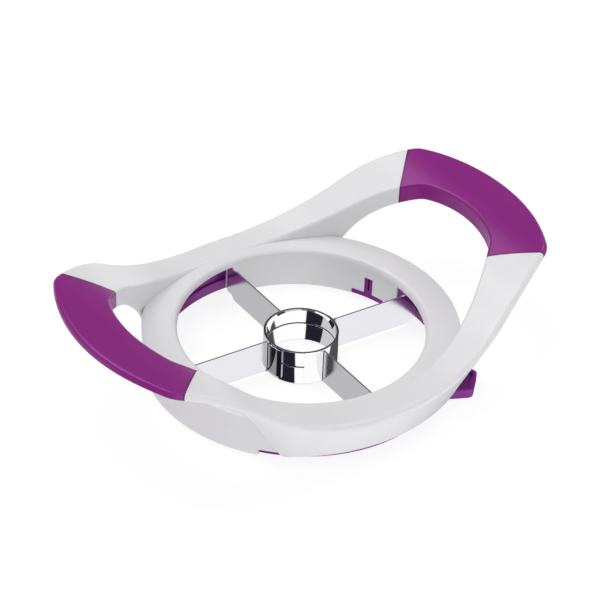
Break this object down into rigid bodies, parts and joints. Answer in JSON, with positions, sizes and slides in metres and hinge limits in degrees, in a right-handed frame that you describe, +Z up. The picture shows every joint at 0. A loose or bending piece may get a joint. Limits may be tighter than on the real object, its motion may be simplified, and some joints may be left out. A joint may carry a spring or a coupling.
{
  "type": "apple slicer wedger press",
  "caption": "Handheld press that cores and wedges an apple: white frame with raised soft-grip handles, a core ring and crossed blades, some on a lever ring that folds them onto the rest.",
  "frame": {"origin": "on the table under the axis of the core ring, level with the underside of the turning ring", "axes": "+X along the two handles towards the right one, +Z up along the core ring's axis, front (the lever's side) towards -Y"},
  "size_m": [0.1814, 0.1198, 0.0456],
  "materials": {
    "white_plastic": "satin",
    "purple_grip": "satin soft touch",
    "purple_plastic": "satin",
    "blade_steel": "fine ground",
    "core_steel": "polished"
  },
  "bodies": {
    "frame": {"body": "white_plastic", "left_grip": "purple_grip", "right_grip": "purple_grip", "upper_core_ring": "core_steel", "fixed_blade_back": "blade_steel", "fixed_blade_front": "blade_steel", "left_clip": "purple_plastic", "right_clip": "purple_plastic"},
    "turning_ring": {"turning_ring": "purple_plastic", "lower_core_ring": "core_steel", "turning_blade_right": "blade_steel", "turning_blade_left": "blade_steel"}
  },
  "joints": [
    {"name": "blade_fold", "type": "hinge", "parent": "frame", "child": "turning_ring", "pos_m": [0, 0, 0], "axis": [0, 0, 1], "range_deg": [-82, 0]}
  ]
}
